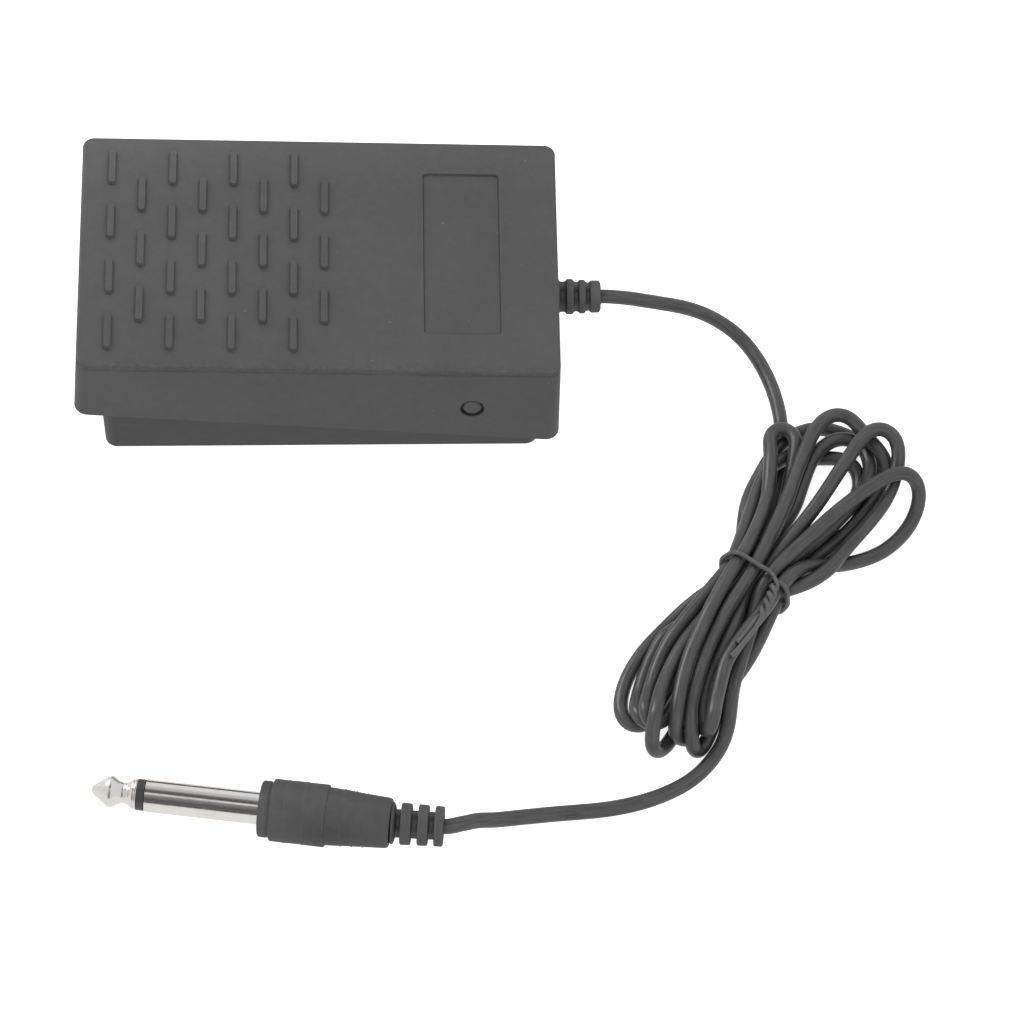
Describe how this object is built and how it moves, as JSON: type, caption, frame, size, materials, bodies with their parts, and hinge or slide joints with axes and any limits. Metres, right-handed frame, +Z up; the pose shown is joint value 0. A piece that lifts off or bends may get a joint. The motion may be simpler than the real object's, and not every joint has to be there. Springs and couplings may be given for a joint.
{
  "type": "sustain pedal",
  "caption": "Piano-style sustain foot switch: hinged ribbed treadle on a hollow tray, spring and leaf switch inside, hanked cable with a phone plug.",
  "frame": {"origin": "on the floor plane, under the middle of the tray", "axes": "+X from the foot end of the treadle to the cable end, +Y to the far side away from the plug, +Z up from the floor"},
  "size_m": [0.1763, 0.1633, 0.0335],
  "materials": {
    "tray_plastic": "moulded black, fine satin grain",
    "cover_plastic": "moulded black, fine satin grain",
    "rubber": "matte",
    "pin_steel": "blackened",
    "spring_steel": "zinc plated",
    "contact_bronze": "bright strip",
    "contact_silver": "bright",
    "spacer_board": "fibre board",
    "zinc_steel": "zinc plated",
    "clamp_plastic": "moulded",
    "lead_red": "extruded",
    "lead_black": "extruded",
    "solder": "bright",
    "boot_pvc": "moulded soft plastic",
    "cable_pvc": "extruded satin jacket",
    "tie_plastic": "satin",
    "plug_nickel": "nickel plated",
    "insulator_black": "moulded",
    "core_nylon": "natural",
    "grip_pvc": "moulded soft plastic"
  },
  "bodies": {
    "tray": {"base_tray": "tray_plastic", "floor_pad": "rubber", "pivot_pin_front": "pin_steel", "pivot_pin_back": "pin_steel", "return_spring": "spring_steel", "stop_bumper_front": "rubber", "stop_bumper_back": "rubber", "fixed_contact_blade": "contact_bronze", "fixed_contact_rivet": "contact_silver", "moving_contact_terminal": "contact_bronze", "stack_spacer_lower": "spacer_board", "stack_spacer_upper": "spacer_board", "stack_clamp_plate": "zinc_steel", "stack_screws": "zinc_steel", "clamp_screws": "zinc_steel", "cable_clamp": "clamp_plastic", "signal_lead": "lead_red", "ground_lead": "lead_black", "solder_joints": "solder", "strain_relief_boot": "boot_pvc", "cable": "cable_pvc", "twist_tie": "tie_plastic", "plug_tip": "plug_nickel", "plug_tip_insulator": "insulator_black", "plug_sleeve": "plug_nickel", "plug_core_tube": "core_nylon", "plug_grip": "grip_pvc", "plug_strain_relief": "grip_pvc", "plug_signal_wire": "lead_red", "plug_ground_wire": "lead_black"},
    "treadle": {"pedal_cover": "cover_plastic"},
    "contact_arm": {"moving_contact_arm": "contact_bronze", "moving_contact_rivet": "contact_silver"}
  },
  "joints": [
    {"name": "pedal_press", "type": "hinge", "parent": "tray", "child": "treadle", "pos_m": [0.03141, 0, 0.0185], "axis": [0, -1, 0], "range_deg": [0, 5.3], "stiffness_Nm_per_rad": 2, "springref_deg": -11.46, "deforming": ["return_spring"]},
    {"name": "contact_arm_flex", "type": "hinge", "parent": "tray", "child": "contact_arm", "pos_m": [0.00215, 0, 0.01245], "axis": [0, 1, 0], "range_deg": [0, 6]}
  ],
  "couplings": [
    {"joint": "contact_arm_flex", "follows": "pedal_press", "ratio": 1.13}
  ]
}
